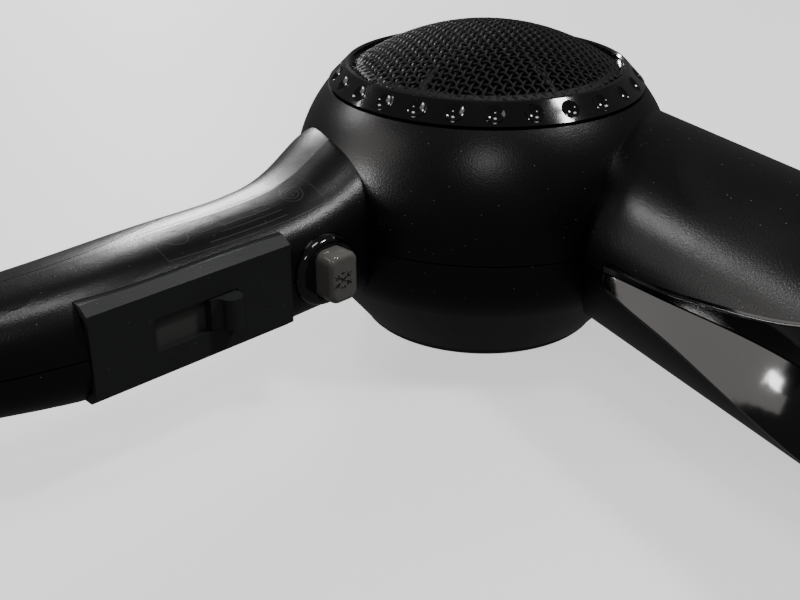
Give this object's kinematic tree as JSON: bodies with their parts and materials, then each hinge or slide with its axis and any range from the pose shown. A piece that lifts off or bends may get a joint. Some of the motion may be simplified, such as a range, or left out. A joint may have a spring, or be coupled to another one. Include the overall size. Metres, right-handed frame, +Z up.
{
  "type": "hair dryer",
  "caption": "Hand-held hair dryer with a side-intake fan drum, a domed wire sieve, a straight barrel, and a handle with a slide switch and a cool button.",
  "frame": {"origin": "on the fan's axis, in the plane of the base cover that the dryer rests on", "axes": "+Z up along the fan's axis, +X along the barrel the way the air leaves, handle pointing to -Y"},
  "size_m": [0.207, 0.2323, 0.0767],
  "materials": {
    "matt_shell": "soft-touch matt",
    "gloss_black": "polished",
    "rear_cover": "soft-touch matt",
    "switch_grey": "fine matt",
    "shutter_grey": "matt",
    "sieve_wire": "black coated wire cloth",
    "guard_black": "black coated",
    "inner_plastic": "plain moulded",
    "motor_steel": "zinc plated",
    "magnet": "ferrite",
    "rotor": "laminated iron and winding",
    "mica": "mica sheet",
    "heater_wire": "resistance wire",
    "screw_steel": "zinc plated",
    "circuit": "green board",
    "component": "moulded",
    "rubber_black": "matt rubber"
  },
  "bodies": {
    "housing": {"upper_housing": "matt_shell", "lower_housing": "matt_shell", "handle_cover": "rear_cover", "scoop_trim_upper": "gloss_black", "scoop_trim_lower": "gloss_black", "outlet_collar": "gloss_black", "outlet_guard": "guard_black", "base_cover": "gloss_black", "motor_can": "motor_steel", "motor_end_plate": "inner_plastic", "motor_magnets": "magnet", "motor_bracket": "inner_plastic", "bracket_screws": "screw_steel", "inlet_bell": "inner_plastic", "mica_tube": "mica", "mica_board_upright": "mica", "mica_board_level": "mica", "heating_coil": "heater_wire", "thermal_cutout": "component", "thermal_fuse": "screw_steel", "heater_rear_ring": "mica", "heater_front_ring": "mica", "switch_plate": "switch_grey", "slide_switch": "component", "button_bezel": "gloss_black", "cool_spring": "screw_steel", "cool_switch": "component", "circuit_board": "circuit", "capacitor": "component", "diodes": "inner_plastic", "cord_gland": "rubber_black", "housing_screws": "screw_steel"},
    "intake_cap": {"intake_ring": "gloss_black", "sieve": "sieve_wire", "sieve_frame": "inner_plastic"},
    "fan": {"motor_shaft": "screw_steel", "motor_rotor": "rotor", "impeller": "inner_plastic"},
    "switch_slider": {"switch_knob": "switch_grey", "switch_shutter": "shutter_grey"},
    "cool_key": {"cool_button": "gloss_black"}
  },
  "joints": [
    {"name": "fan_spin", "type": "hinge", "parent": "housing", "child": "fan", "pos_m": [0, 0, 0.0325], "axis": [0, 0, 1], "continuous": true},
    {"name": "intake_ring_twist", "type": "hinge", "parent": "housing", "child": "intake_cap", "pos_m": [0, 0, 0.062], "axis": [0, 0, 1], "range_deg": [0, 18]},
    {"name": "switch_slide", "type": "slide", "parent": "housing", "child": "switch_slider", "axis": [0.2924, -0.9563, 0], "range_m": [0, 0.013]},
    {"name": "cool_press", "type": "slide", "parent": "housing", "child": "cool_key", "axis": [-0.9563, -0.2924, 0], "range_m": [0, 0.0025], "stiffness_N_per_m": 300, "springref_m": -0.003, "deforming": ["cool_spring"]}
  ]
}
